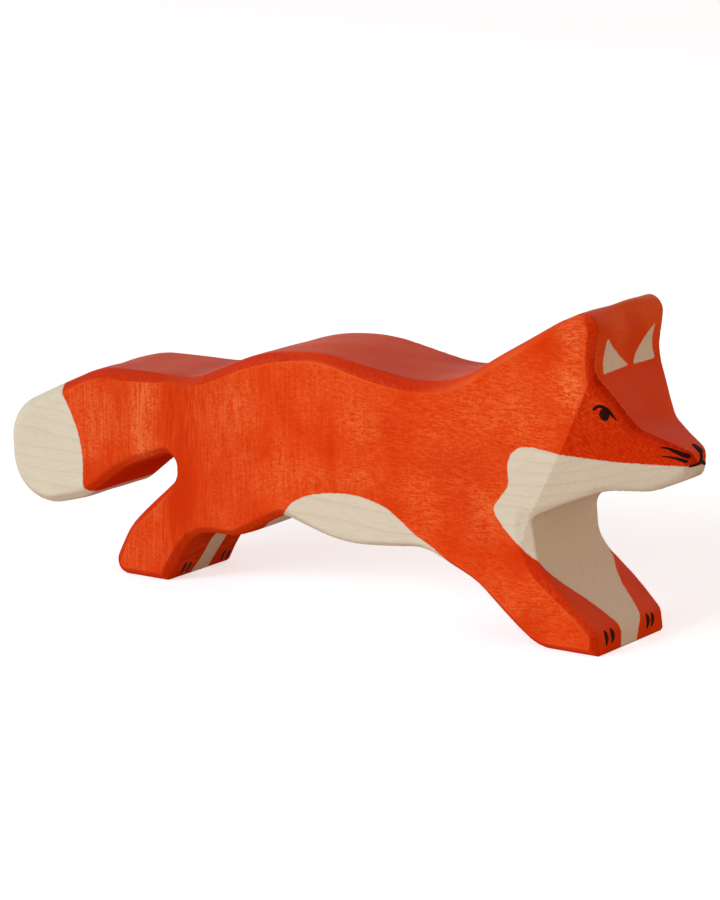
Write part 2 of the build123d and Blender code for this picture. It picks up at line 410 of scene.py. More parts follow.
def surface_net(field, start, end, step):
    """Points and quads where the field is zero, on a grid of cells between two corners."""
    axes = [np.arange(a, b + step, step) for a, b in zip(start, end)]
    knots = np.stack(np.meshgrid(*axes, indexing="ij"), -1)
    value = field(knots.reshape(-1, 3)).reshape(knots.shape[:3])
    inside = value > 0
    count = sum(inside[i:i - 1 or None, j:j - 1 or None, k:k - 1 or None].astype(np.int8)
                for i, j, k in CORNER)
    cells = np.argwhere((count > 0) & (count < 8))
    number = np.full(count.shape, -1)
    number[tuple(cells.T)] = np.arange(len(cells))
    total = np.zeros((len(cells), 3))
    hits = np.zeros((len(cells), 1))
    for a, b in EDGE_ENDS:
        va = value[tuple((cells + CORNER[a]).T)]
        vb = value[tuple((cells + CORNER[b]).T)]
        cut = (va > 0) != (vb > 0)
        share = np.where(cut, va / np.where(cut, va - vb, 1), 0)[:, None]
        total += np.where(cut[:, None], CORNER[a] + share * (CORNER[b] - CORNER[a]), 0)
        hits += cut[:, None]
    points = np.array(start) + (cells + total / hits) * step
    quads = []
    for axis in range(3):
        cells_along = np.arange(inside.shape[axis] - 1)
        near, far = (np.take(inside, cells_along + n, axis) for n in (0, 1))
        edges = np.argwhere(near != far)
        leaves = near[tuple(edges.T)]
        u, v = np.eye(3, dtype=int)[(axis + 1) % 3], np.eye(3, dtype=int)[(axis + 2) % 3]
        ring = [number[tuple((edges - w).T)] for w in (0 * u, u, u + v, v)]
        quad = np.stack(ring, -1)
        quads.append(np.where(leaves[:, None], quad, quad[:, ::-1]))
    return points, np.concatenate(quads)


# %% Put points on the surface
LEAST_STEEPNESS = 0.2


def settle(p, rounds=4):
    """Moves points along the slope until the depth is zero: each step is depth over steepness."""
    for _ in range(rounds):
        g = slope(p)
        steepness = np.maximum((g * g).sum(-1, keepdims=True), LEAST_STEEPNESS)
        p = p - depth(p)[:, None] * g / steepness
    return p


NET_STEP = 0.56
NET_MARGIN = 1.5
net_low = np.array((-LENGTH / 2, -HALF, 0.0)) - NET_MARGIN
net_high = np.array((LENGTH / 2, HALF, HEIGHT)) + NET_MARGIN
wood_points, wood_quads = surface_net(depth, net_low, net_high, NET_STEP)
wood_points = settle(wood_points)
wood_normals = unit(-slope(wood_points))
print("skin of the body:", len(wood_points), "points,", len(wood_quads), "quads")

# %% [markdown]
# ## Where the stain stops
# The maker leaves wood bare at the tip of the tail, under the belly, from the cheeks down the chest
# to the paws, and inside the ears. Each border is a line drawn on the flank or across an edge. A
# signed distance to it, kept as a number on every point, stays sharp however the light falls, and
# the material can fray it with brush marks.

# %% Smooth lines through listed points


def through(points, per_span=8):
    """A smooth open line through the points: each span is a cubic whose ends lean on the next."""
    p = np.array(points, float)
    padded = np.vstack([2 * p[0] - p[1], p, 2 * p[-1] - p[-2]])
    t = np.linspace(0, 1, per_span, endpoint=False)[:, None, None]
    a, b, c, d = (padded[n:len(padded) - 3 + n][None] for n in range(4))
    curve = 0.5 * (2 * b + (c - a) * t + (2 * a - 5 * b + 4 * c - d) * t ** 2
                   + (3 * b - a - 3 * c + d) * t ** 3)
    return np.vstack([curve.transpose(1, 0, 2).reshape(-1, p.shape[1]), p[-1:]])


# %% Borders on the flanks, as points along X and up Z, in millimetres from the frame's origin
TAIL_BORDER = (
    (-68.4, 48.0), (-68.0, 40.5), (-67.6, 38.0), (-66.2, 35.6), (-64.6, 32.6), (-63.4, 29.8),
    (-62.7, 27.0), (-62.3, 24.5), (-62.2, 21.0), (-62.2, 18.4), (-61.3, 17.1), (-60.0, 16.9),
    (-59.2, 16.3), (-58.6, 14.6), (-57.0, 11.0))
BELLY_BORDER = (
    (-12.0, 15.5), (-9.6, 18.4), (-8.0, 20.0), (-5.8, 22.3), (-1.4, 24.3), (4.8, 25.5),
    (11.0, 25.5), (16.4, 24.3), (19.4, 22.8), (24.2, 19.5), (29.1, 16.9), (33.0, 14.0))
CHEST_BORDER = (
    (54.0, 17.4), (51.2, 18.9), (48.5, 20.9), (45.1, 24.0), (43.0, 27.2), (44.6, 29.9),
    (46.4, 32.6), (46.2, 36.2), (46.9, 38.7), (48.6, 40.3), (50.8, 40.8), (54.8, 40.6),
    (59.6, 40.0), (67.5, 39.2), (74.7, 38.9), (81.9, 38.7))
UNDERGROUND = -12.0


def patch(border, far_x=None, far_z=None):
    """A border closed into a patch by two corners far off, level with its ends or below them."""
    (first_x, first_z), (last_x, last_z) = border[0], border[-1]
    if far_x is None:
        corners = (last_x, far_z), (first_x, far_z)
    else:
        corners = (far_x, last_z), (far_x, first_z)
    return np.vstack([through(border), corners])


patch_charts = [chart_of(patch(TAIL_BORDER, far_x=-LENGTH)),
                chart_of(patch(BELLY_BORDER, far_z=UNDERGROUND)),
                chart_of(patch(CHEST_BORDER, far_x=LENGTH))]

# %% Inner ears, seen from the front: across Y and up Z
RIGHT_EAR = np.vstack([through(((-8.4, 63.5), (-9.0, 61.0), (-9.4, 58.8), (-10.0, 56.5))),
                       through(((-10.0, 56.5), (-5.0, 56.6), (-0.2, 56.8))),
                       through(((-0.2, 56.8), (-3.2, 59.2), (-6.2, 61.5), (-8.4, 63.5)))])
LEFT_EAR = np.vstack([through(((9.7, 63.9), (9.1, 61.3), (9.5, 59.0), (10.0, 56.6))),
                      through(((10.0, 56.6), (5.8, 56.6), (1.6, 56.7))),
                      through(((1.6, 56.7), (2.8, 58.2), (4.5, 60.0), (6.7, 62.0), (9.7, 63.9)))])

# %% Stripes down the legs: the reach of bare wood to the right and the left of the middle
CHEST_STRIPE_Z = (0.0, 1.5, 3.2, 4.7, 6.0, 8.0, 10.0, 12.5, 14.0, 16.4, 18.2, 20.0)
CHEST_STRIPE_RIGHT = (4.0, 4.0, 3.8, 4.25, 4.8, 6.0, 7.4, 9.6, 10.7, 11.9, 12.9, 13.6)
CHEST_STRIPE_LEFT = (2.0, 2.5, 3.1, 3.9, 4.8, 5.8, 6.9, 9.3, 11.6, 13.4, 13.6, 13.6)
SHIN_STRIPE_X = (-45.0, -40.1, -38.2, -36.9, -35.1, -33.0, -24.0, -19.0, -15.0, -12.0)
SHIN_STRIPE_RIGHT = (3.1, 3.0, 2.6, 2.2, 2.1, 2.3, 3.4, 6.0, 10.0, 11.4)
SHIN_STRIPE_LEFT = (2.9, 3.1, 3.5, 4.2, 4.7, 4.9, 5.0, 6.5, 10.0, 11.4)

# %% Where each stripe counts: ahead of its leg's slanting back, and below the body
FRONT_LEG_LINE = 60.0
FRONT_LEG_TOP = 20.0
HIND_LEG_LINE = -48.5
HIND_LEG_RAKE = 0.5
HIND_LEG_TOP = 19.0
THIGH_X = -11.0
EAR_BACK_X = CROWN[0] - 1.0


def stripe(place, y, places, right, left):
    """Distance into a stripe whose reach to each side changes along it."""
    reach = np.where(y < 0, np.interp(place, places, right), np.interp(place, places, left))
    return reach - np.abs(y)


def bare_distance(p):
    """Distance into the nearest bare patch, positive on bare wood.

    Flank patches are read from their charts. A stripe is its reach at that place less the distance
    from the middle of the plank, and counts on the front of its leg alone. The ears count only on
    the front of the crown.
    """
    x, y, z = p.T
    chest = stripe(z, y, CHEST_STRIPE_Z, CHEST_STRIPE_RIGHT, CHEST_STRIPE_LEFT)
    shin = stripe(x, y, SHIN_STRIPE_X, SHIN_STRIPE_RIGHT, SHIN_STRIPE_LEFT)
    ears = np.maximum(signed_distance(p[:, 1:], RIGHT_EAR), signed_distance(p[:, 1:], LEFT_EAR))
    ahead_of_shin = x - HIND_LEG_LINE - HIND_LEG_RAKE * z
    return np.max([
        *(read_chart(chart, x, z) for chart in patch_charts),
        np.min([chest, x + LEG_RAKE * z - FRONT_LEG_LINE, FRONT_LEG_TOP - z], axis=0),
        np.min([shin, ahead_of_shin, HIND_LEG_TOP - z, THIGH_X - x], axis=0),
        np.minimum(ears, x - EAR_BACK_X),
    ], axis=0)


bare = bare_distance(wood_points)
print("bare share of the skin:", round(float((bare > 0).mean()), 2))

# %% [markdown]
# ## Where the brush ran dry
# The stain lies thick in the broken edges and thin where the brush ran dry, mostly on the flats of
# the tail, the hind paw and the back of the head. These places are a few soft patches, each with a
# strength that adds up where patches overlap. A strength below zero stands for a wet place. The
# last patch, on the flute between the ears, is painted light: it pales the stain where the flute
# faces up.

# %% Dry, wet and painted-light patches: centre along X and up Z, reach along and up, strength
# The last patch is painted light: it pales the flute at the top of the head, where it faces up.
DRY_WET_AND_LIT_PATCHES = (
    (-46.0, 32.0, 2.8, 12.0, 1.6), (-54.0, 36.0, 6.0, 7.0, 0.4), (-60.0, 31.0, 5.0, 8.0, 0.4),
    (-51.0, 7.0, 5.0, 6.0, 0.5), (-43.0, 20.0, 2.6, 8.0, 0.5), (-39.0, 6.0, 4.0, 4.0, 0.5),
    (-36.0, 20.0, 4.5, 8.0, -0.9), (-47.5, 13.0, 2.5, 6.0, -0.4), (-20.0, 42.0, 9.0, 6.0, 0.35),
    (-15.0, 26.0, 5.0, 8.0, 0.3), (11.0, 40.5, 7.0, 3.5, 0.35), (5.0, 27.5, 12.0, 3.0, 0.35),
    (-12.8, 34.0, 2.2, 20.0, -0.32), (-6.0, 34.0, 1.6, 14.0, -0.2),
    (3.8, 32.0, 1.0, 18.0, -0.28), (34.0, 35.0, 15.0, 12.0, 0.36), (60.5, 64.5, 3.0, 4.0, 0.9),
    (60.5, 54.0, 3.0, 4.0, 0.9), (48.0, 46.0, 6.0, 7.0, 0.2), (41.0, 24.0, 4.0, 6.0, 0.5),
    (52.0, 9.0, 6.0, 5.0, 0.4), (69.0, 65.0, 8.0, 5.0, 0.6))


def dryness_and_light(p):
    """The sum of the patches, each a bell curve that falls off from its centre in X and Z."""
    x, _, z = p.T
    total = np.zeros(len(p))
    for cx, cz, along, up, strength in DRY_WET_AND_LIT_PATCHES:
        total += strength * np.exp(-((x - cx) / along) ** 2 - ((z - cz) / up) ** 2)
    return total


# %% Make objects, and the body's mesh with its distances as attributes


def add_object(name, data):
    """A new object of the scene, from a mesh, a light or a camera."""
    added = bpy.data.objects.new(name, data)
    bpy.context.scene.collection.objects.link(added)
    return added


def mesh_piece(name, points, faces):
    """A smooth mesh object from an array of points in millimetres and a list of faces."""
    mesh = bpy.data.meshes.new(name)
    mesh.from_pydata((points * MM).tolist(), [], faces)
    mesh.shade_smooth()
    return add_object(name, mesh)


_, flank_depth, bevel_across = depths(wood_points)
wood_x, _, wood_z = wood_points.T
into_cheek = np.minimum(ahead_of_cheek(wood_x, wood_z), wood_z - CHEEK_Z)
body = mesh_piece("fox_body", wood_points, wood_quads.tolist())
for name, value in (("bare", bare), ("from_edge", bevel_across), ("from_flank", flank_depth),
                    ("from_cheek", into_cheek), ("dry", dryness_and_light(wood_points))):
    layer = body.data.attributes.new(name, "FLOAT", "POINT")
    layer.data.foreach_set("value", value.astype(np.float32))
body.data.normals_split_custom_set_from_vertices(wood_normals.tolist())

# %% [markdown]
# ## Brush strokes
# Each black mark is one pull of a small brush: it starts thin or blunt, swells and ends in a point,
# and it stands a little proud of the wood. A stroke is a line on the flank or on the front, pushed
# on to the wood, with a lens-shaped section carried along it.

# %% Push points on to the wood along one direction
STANDOFF = 4.0
LAND_ROUNDS = 60
LONGEST_STEP = 1.0


def land(p, way):
    """Walks points along a direction by their distance from the wood, until they touch it."""
    for _ in range(LAND_ROUNDS):
        p = p - np.minimum(depth(p), LONGEST_STEP)[:, None] * np.array(way)
    return p


def skin(flat, side):
    """Points of the wood under a drawing, and the way out of the wood there.

    The drawing is in X and Z on the right or left flank, which face -Y and +Y, or in Y and Z seen
    from ahead, where the number is the place along X from which the drawing is pushed back.
    """
    if side in ("right", "left"):
        out = -1.0 if side == "right" else 1.0
        away = np.full(len(flat), out * (HALF + STANDOFF))
        start = np.column_stack([flat[:, 0], away, flat[:, 1]])
        ground = land(start, (0.0, -out, 0.0))
    else:
        start = np.column_stack([np.full(len(flat), side), flat])
        ground = land(start, (-1.0, 0.0, 0.0))
    return ground, unit(-slope(ground))


# %% One stroke: a lens carried along a line on the wood
PAINT = 0.13
PAINT_ROOT = 0.12
FULL_PAINT_HALF = 0.2
LEAST_HALF, LEAST_END = 0.01, 0.05
RINGS = 40
AROUND = 14


def stroke(line, widths, side):
    """Points and faces of a brush stroke, closed all round.

    The line is resampled evenly. At each step the section is a flat lens: across the line goes the
    cosine of the angle times half the width, and up goes the sine times the paint's height, or down
    into the wood below it. At both ends the width goes to nothing as a half circle.
    """
    line = through(line)
    run = np.r_[0, np.cumsum(np.linalg.norm(np.diff(line, axis=0), axis=1))]
    share = np.linspace(0, 1, RINGS)
    spine = np.stack([np.interp(share * run[-1], run, axis) for axis in line.T], -1)
    along = unit(np.gradient(spine, axis=0))
    half = np.interp(share, np.linspace(0, 1, len(widths)), widths) / 2
    end = np.minimum(np.minimum(share, 1 - share) * run[-1] / np.maximum(half, LEAST_END), 1)
    half = np.maximum(half * np.sqrt(1 - (1 - end) ** 2), LEAST_HALF)
    angle = np.linspace(0, 2 * np.pi, AROUND, endpoint=False)
    across = np.stack([-along[:, 1], along[:, 0]], -1)
    flat = spine[:, None] + across[:, None] * (half[:, None] * np.cos(angle))[..., None]
    ground, way_out = skin(flat.reshape(-1, 2), side)
    rise = np.where(np.sin(angle) > 0, PAINT, PAINT_ROOT) * np.sin(angle)
    rise = rise[None] * np.minimum(half / FULL_PAINT_HALF, 1)[:, None]
    points = ground + way_out * rise.reshape(-1, 1)
    ring = np.arange(RINGS - 1)[:, None] * AROUND
    this, after = np.arange(AROUND), (np.arange(AROUND) + 1) % AROUND
    quads = np.stack([ring + this, ring + after, ring + AROUND + after, ring + AROUND + this], -1)
    first = list(range(AROUND))[::-1]
    last = list(range((RINGS - 1) * AROUND, RINGS * AROUND))
    return points, quads.reshape(-1, 4).tolist() + [first, last]


def brushed(node, strokes):
    """One piece of black paint from one or more strokes, in place of its node of the frame."""
    points, faces, count = [], [], 0
    for line, widths, side in strokes:
        stroke_points, stroke_faces = stroke(line, widths, side)
        points.append(stroke_points)
        faces += [[n + count for n in face] for face in stroke_faces]
        count += len(stroke_points)
    piece = mesh_piece("brushed_" + node, np.concatenate(points), faces)
    outward = bmesh.new()
    outward.from_mesh(piece.data)
    bmesh.ops.recalc_face_normals(outward, faces=outward.faces)
    outward.to_mesh(piece.data)
    outward.free()
    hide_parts(node)
    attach(piece, "root")
    return piece


# %% [markdown]
# ## The face and the claws
# The lid is one arched pull that ends in a fine tail, with the eye's oval hung under it. Two
# whiskers swell towards the nose. Nose and mouth are one wet mark: a patch, a line down and a curve
# to each side. The claws are small crescents, two to a side on each paw.

# %% Drawings of the strokes: the points of each, and its widths from start to end
EYE = (((66.95, 50.1), (66.97, 48.9), (67.06, 47.62)), (1.4, 1.9, 1.45))
LID = (((65.0, 49.65), (65.45, 50.2), (66.15, 50.6), (66.8, 50.45), (67.45, 50.0), (67.95, 49.4),
        (68.45, 48.6), (69.1, 47.75)), (0.5, 0.6, 0.65, 0.7, 0.65, 0.5, 0.36, 0.15))
UPPER_WHISKER = (((76.55, 42.55), (77.8, 42.3), (79.1, 41.7), (80.45, 41.1), (81.5, 40.55)),
                 (0.25, 0.38, 0.6, 0.82, 0.75))
LOWER_WHISKER = (((76.7, 40.75), (78.0, 40.7), (79.35, 40.4), (80.4, 40.05), (81.2, 39.65)),
                 (0.22, 0.32, 0.48, 0.65, 0.58))
NOSE_START = LENGTH / 2 + STANDOFF
NOSE = (((0.75, 42.4), (0.5, 41.8), (0.35, 41.2), (0.2, 40.6)), (1.5, 2.2, 1.8, 1.0))
LIP = (((0.25, 40.9), (-0.1, 40.2), (-0.4, 39.5), (-1.5, 39.05), (-2.45, 38.8), (-3.2, 38.65)),
       (1.2, 1.0, 1.0, 0.6, 0.5, 0.35))
LIP_LEFT = (((-0.4, 39.6), (0.35, 39.1), (1.4, 38.65), (2.4, 38.6), (3.2, 38.75)),
            (1.0, 0.9, 0.8, 0.5, 0.3))
HIND_START = -35.5
CLAWS = {
    "front_claw_outer_right": ((-9.85, 4.75), (-9.5, 3.85), (-9.3, 2.8), (-9.7, 1.65)),
    "front_claw_inner_right": ((-7.6, 4.75), (-7.2, 3.85), (-6.95, 2.9), (-7.5, 1.75)),
    "front_claw_inner_left": ((6.25, 4.85), (6.5, 3.95), (6.65, 2.9), (6.1, 1.7)),
    "front_claw_outer_left": ((8.25, 4.65), (8.45, 3.8), (8.45, 2.9), (7.95, 1.75)),
    "hind_claw_outer_right": ((-7.45, 3.5), (-7.15, 2.15), (-7.0, 0.8)),
    "hind_claw_inner_right": ((-5.7, 3.35), (-5.3, 1.95), (-5.1, 0.75)),
    "hind_claw_inner_left": ((7.0, 3.2), (7.3, 1.85), (7.4, 0.75)),
    "hind_claw_outer_left": ((9.2, 2.95), (9.4, 1.7), (9.3, 0.7)),
}
FRONT_CLAW_WIDTHS = (0.35, 1.15, 1.4, 1.0, 0.3)
HIND_CLAW_WIDTHS = (0.5, 0.95, 1.0, 0.8, 0.4)

# %% Brush them on
FACE_STROKES = {"eye_": EYE, "lid_": LID, "upper_whisker_": UPPER_WHISKER,
                "lower_whisker_": LOWER_WHISKER}
marks = []
for side in ("right", "left"):
    for name, drawing in FACE_STROKES.items():
        marks.append(brushed(name + side, [(*drawing, side)]))
front_strokes = [(*drawing, NOSE_START) for drawing in (NOSE, LIP, LIP_LEFT)]
marks.append(brushed("nose_and_mouth", front_strokes))
for name, line in CLAWS.items():
    if name.startswith("hind"):
        widths, start = HIND_CLAW_WIDTHS, HIND_START
    else:
        widths, start = FRONT_CLAW_WIDTHS, NOSE_START
    marks.append(brushed(name, [(line, widths, start)]))
print("black marks:", len(marks))

# %% [markdown]
# ## Materials
# Colour on this toy has three layers. The wood itself is pale, with faint growth lines that slant
# through the plank. The stain soaks in unevenly: thick in the broken edges, thin in the pores and
# where the brush ran dry. The black paint covers. Every pattern reads the place in the wood, so it
# runs through the solid and turns the corner from flank to edge without a seam.

# %% Small helpers for node trees


def srgb(red, green, blue):
    """A colour as a screen shows it, from 0 to 255, as the linear light that a shader wants."""
    shares = np.array((red, green, blue)) / 255
    linear = np.where(shares <= 0.04045, shares / 12.92, ((shares + 0.055) / 1.055) ** 2.4)
    return (*linear.tolist(), 1.0)


def feed(tree, node, values):
    """Sets each named input of a node to a number or a colour, or links it to a socket."""
    for key, value in values.items():
        if isinstance(value, bpy.types.NodeSocket):
            tree.links.new(value, node.inputs[key])
        else:
            node.inputs[key].default_value = value


def put(tree, kind, values=None, **settings):
    """A new node with its settings made and its inputs fed."""
    node = tree.nodes.new(kind)
    for name, setting in settings.items():
        setattr(node, name, setting)
    feed(tree, node, values or {})
    return node


def calc(tree, operation, *values):
    """The output of a Math node."""
    return put(tree, "ShaderNodeMath", dict(enumerate(values)), operation=operation).outputs[0]


def product(tree, first, *others):
    """All values multiplied."""
    for other in others:
        first = calc(tree, "MULTIPLY", first, other)
    return first


def greatest(tree, first, *others):
    """The greatest of all values."""
    for other in others:
        first = calc(tree, "MAXIMUM", first, other)
    return first


# %% Helpers for ranges, mixes, noise and groups


def ramp(tree, value, start, end, low=0.0, high=1.0):
    """A value that goes smoothly from low to high as another goes from start to end."""
    values = {"Value": value, "From Min": start, "From Max": end, "To Min": low, "To Max": high}
    return put(tree, "ShaderNodeMapRange", values, interpolation_type="SMOOTHSTEP").outputs[0]


def between(tree, share, a, b):
    """A number between two others."""
    return put(tree, "ShaderNodeMix", {0: share, 2: a, 3: b}).outputs[0]


def blend(tree, share, a, b):
    """A colour between two others."""
    return put(tree, "ShaderNodeMix", {0: share, 6: a, 7: b}, data_type="RGBA").outputs[2]


def scaled(tree, vector, factor):
    """A vector times a number."""
    values = {0: vector, "Scale": factor}
    return put(tree, "ShaderNodeVectorMath", values, operation="SCALE").outputs[0]


def stretched_noise(tree, place, scale, detail=2.0, roughness=0.5):
    """Noise with its own scale along each axis, in features per millimetre."""
    mapped = put(tree, "ShaderNodeMapping", {"Vector": place, "Scale": scale}).outputs[0]
    values = {"Vector": mapped, "Scale": 1.0, "Detail": detail, "Roughness": roughness}
    return put(tree, "ShaderNodeTexNoise", values).outputs["Fac"]


def group_of(name, inputs, outputs):
    """An empty node group with named float, vector or colour sockets."""
    tree = bpy.data.node_groups.new(name, "ShaderNodeTree")
    for socket_name, kind in inputs:
        tree.interface.new_socket(name=socket_name, in_out="INPUT", socket_type=kind)
    for socket_name, kind in outputs:
        tree.interface.new_socket(name=socket_name, in_out="OUTPUT", socket_type=kind)
    return tree, tree.nodes.new("NodeGroupInput"), tree.nodes.new("NodeGroupOutput")


# %% The wood's own figure, used under stain and under paint
RING_WAY = Vector((0.02, -0.62, 0.78))
RING_GAP = 2.2
RING_SHARPNESS = 7.0

grain, grain_in, grain_out = group_of(
    "wood_figure",
    [("Place", "NodeSocketVector"), ("Wander", "NodeSocketFloat")],
    [("Rings", "NodeSocketFloat"), ("Pores", "NodeSocketFloat"), ("Height", "NodeSocketFloat")],
)
place = grain_in.outputs["Place"]
drift = stretched_noise(grain, place, (0.012, 0.05, 0.05))
dot = put(grain, "ShaderNodeVectorMath", {0: place, 1: RING_WAY}, operation="DOT_PRODUCT")
wandered = calc(grain, "MULTIPLY_ADD", drift, grain_in.outputs["Wander"], dot.outputs["Value"])
ring_share = calc(grain, "FRACT", calc(grain, "DIVIDE", wandered, RING_GAP))
ring_line = calc(grain, "POWER", ring_share, RING_SHARPNESS)
strength = stretched_noise(grain, place, (0.03, 0.2, 0.2), 1.0)
pore = ramp(grain, stretched_noise(grain, place, (0.35, 3.2, 3.2), 2.0, 0.6), 0.35, 0.75)
feed(grain, grain_out, {
    "Rings": product(grain, ring_line, strength),
    "Pores": pore,
    "Height": calc(grain, "SUBTRACT", pore, ring_line),
})

# %% Materials that are cut from the same wood
GRAIN_WANDER = 9.0
GRAIN_RELIEF = 0.02 * MM


def new_material(name):
    """A material whose tree holds only its Principled shader."""
    material = bpy.data.materials.new(name)
    material.use_nodes = True
    return material, material.node_tree, material.node_tree.nodes["Principled BSDF"]


def wood_figure(tree):
    """The place in the wood in millimetres, and the outputs of the figure there."""
    place = scaled(tree, put(tree, "ShaderNodeTexCoord").outputs["Object"], 1 / MM)
    figure = put(tree, "ShaderNodeGroup", node_tree=grain)
    feed(tree, figure, {"Place": place, "Wander": GRAIN_WANDER})
    return place, figure.outputs


def raised_grain(tree, figure, strength):
    """A normal that shows the wood's pores and rings as a very low relief."""
    values = {"Strength": strength, "Distance": GRAIN_RELIEF, "Height": figure["Height"]}
    return put(tree, "ShaderNodeBump", values).outputs[0]


# %% [markdown]
# ## Stained wood
# One material covers the whole body. It starts from an even orange. Where the brush ran dry the
# colour thins, and where it lingered, on bevels and cheeks and in wet places, it deepens. The rear
# half was also brushed upright, across the grain. Each of these is a share between 0 and 1 that
# blends one colour over the last, so that one can be changed without touching the others. The bare
# wood is in the same material, because the two meet in a frayed border rather than at an edge.

# %% Colours of the stain and of bare wood
STAIN_MID = srgb(227, 60, 8)
STAIN_DEEP = srgb(208, 44, 6)
STAIN_RIDGE = srgb(182, 26, 4)
# A darker stain for the rear, and the colour of the painted shade ahead of the rump
STAIN_DARK_REAR = srgb(204, 54, 14)
# Thin stain, and also the colour of the painted highlights along edges and of the painted light
# among the ears
STAIN_THIN_AND_HIGHLIGHT = srgb(250, 124, 66)
BARE = srgb(226, 209, 185)
BARE_LINE = srgb(203, 180, 150)

# %% What the material reads: the place in the wood, the distances on the mesh, and the slope
wood, tree, shader = new_material("stained_wood")
place, figure = wood_figure(tree)
along_x, _, up_z = put(tree, "ShaderNodeSeparateXYZ", {0: place}).outputs
bare_mm, edge_mm, flank_mm, cheek_mm, dry = (
    put(tree, "ShaderNodeAttribute", attribute_name=name).outputs["Fac"]
    for name in ("bare", "from_edge", "from_flank", "from_cheek", "dry"))
normal = put(tree, "ShaderNodeNewGeometry").outputs["Normal"]
faces_up = put(tree, "ShaderNodeSeparateXYZ", {0: normal}).outputs[2]

# %% Parts of the form, each 1 where it holds: rear half, flank, wall, bevel, cheek and head
REAR_X = (-15.0, 30.0)
NECK_FROM_X, EAR_FROM_X, EAR_FOOT_Z = (22.0, 36.0), (61.0, 65.0), (42.0, 48.0)
rear = ramp(tree, along_x, *REAR_X, 1.0, 0.0)
on_flank = ramp(tree, flank_mm, 0.2, 1.2, 1.0, 0.0)
on_wall = calc(tree, "SUBTRACT", 1.0, on_flank)
behind_ear = product(tree, ramp(tree, along_x, *NECK_FROM_X), ramp(tree, up_z, *EAR_FOOT_Z),
                     ramp(tree, along_x, *EAR_FROM_X, 1.0, 0.0))
on_bevel = product(tree, ramp(tree, edge_mm, 0.12, 0.4, 1.0, 0.0),
                   ramp(tree, faces_up, -0.6, 0.0, 0.6, 1.0),
                   calc(tree, "MULTIPLY_ADD", behind_ear, -0.75, 1.0))
on_cheek = product(tree, ramp(tree, cheek_mm, -0.1, 0.25), on_flank)
on_head = ramp(tree, cheek_mm, -3.0, 0.0)

# %% Patterns: clouds, mottle, specks, marks along and across the grain, and slanting scratches
SCRATCH_ANGLE = np.radians(-45.0)
UPRIGHT_SHARE = 0.62
SPECK_SHARE = 0.35
cloud = stretched_noise(tree, place, (0.07, 0.07, 0.07), 3.0)
mottle = stretched_noise(tree, place, (0.4, 0.4, 0.4))
speck = stretched_noise(tree, place, (1.7, 1.7, 1.7), 2.0, 0.65)
level_marks = stretched_noise(tree, place, (0.6, 3.4, 3.4), 2.0, 0.65)
upright_marks = stretched_noise(tree, place, (2.0, 0.14, 0.14), 2.0, 0.65)
bands = stretched_noise(tree, place, (0.28, 0.02, 0.02))
turned = put(tree, "ShaderNodeMapping", {"Vector": place, "Rotation": (0.0, SCRATCH_ANGLE, 0.0)})
scratches = stretched_noise(tree, turned.outputs[0], (0.32, 2.6, 2.6), 2.0, 0.6)
crossed = between(tree, UPRIGHT_SHARE, level_marks, upright_marks)
brush_marks = between(tree, rear, level_marks, crossed)
texture = ramp(tree, between(tree, SPECK_SHARE, brush_marks, speck), 0.36, 0.68)

# %% Thin stain in dry patches and soft bands; painted light on the walls up among the ears, where
# the flute faces up; and a painted highlight along the rims of bevels
EAR_Z = (56.0, 60.0)
patchy = calc(tree, "MULTIPLY_ADD", ramp(tree, cloud, 0.35, 0.7), 0.3, dry)
patchy = calc(tree, "MULTIPLY_ADD", product(tree, bands, rear), 0.3, patchy)
thin_and_lit = product(tree, texture, calc(tree, "ADD", patchy, 0.15),
               calc(tree, "MULTIPLY_ADD", on_flank, 0.6, 0.4))
# A little thin stain on every wall; above the ear feet, painted light makes it paler where the
# flute and ears face up.
thin_and_lit = calc(tree, "MULTIPLY_ADD", on_wall, ramp(tree, up_z, *EAR_Z, 0.05, 0.22), thin_and_lit)
# Painted highlight: a pale line on the flank beside each bevel, where the rounded edge catches the
# light.
rim_highlight = product(tree, ramp(tree, edge_mm, 0.2, 0.9, 1.0, 0.0),
              ramp(tree, cloud, 0.35, 0.6, 0.1, 0.45), on_flank)
stain = blend(tree, greatest(tree, thin_and_lit, rim_highlight), STAIN_MID, STAIN_THIN_AND_HIGHLIGHT)

# %% Deep stain: on bevels and cheeks, in wet places and in clouds
bevel_stain = product(tree, on_bevel, ramp(tree, speck, 0.4, 0.62, 1.0, 0.7))
cheek_stain = product(tree, on_cheek, ramp(tree, scratches, 0.42, 0.66, 1.0, 0.2),
                      ramp(tree, mottle, 0.45, 0.65, 1.0, 0.75))
wet = ramp(tree, dry, -0.1, -0.8, 0.0, 0.9)
clouded = ramp(tree, cloud, 0.55, 0.3, 0.0, 0.4)
deep = greatest(tree, bevel_stain, cheek_stain, wet, clouded)
stain = blend(tree, deep, stain, STAIN_DEEP)

# %% Ridges: soaked on the tail and round the head, with a painted highlight line beside them
SOAKED_X = (-40.0, -20.0)
soaked = product(tree, on_bevel, ramp(tree, along_x, *SOAKED_X, 0.2, 0.0))
ridge = product(tree, on_bevel, ramp(tree, flank_mm, 0.55, 0.85), on_head,
                ramp(tree, mottle, 0.4, 0.6, 1.0, 0.6), ramp(tree, speck, 0.38, 0.6, 0.95, 0.6))
# Painted highlight: a pale line on the wall side of the head's bevels, where the edge catches the
# light.
ridge_highlight = product(tree, ramp(tree, edge_mm, 0.15, 0.3), ramp(tree, edge_mm, 0.3, 0.6, 1.0, 0.0),
                     on_head, on_wall, ramp(tree, cloud, 0.4, 0.6, 0.25, 0.7))
stain = blend(tree, soaked, stain, STAIN_RIDGE)
stain = blend(tree, ridge, stain, STAIN_RIDGE)
stain = blend(tree, ridge_highlight, stain, STAIN_THIN_AND_HIGHLIGHT)

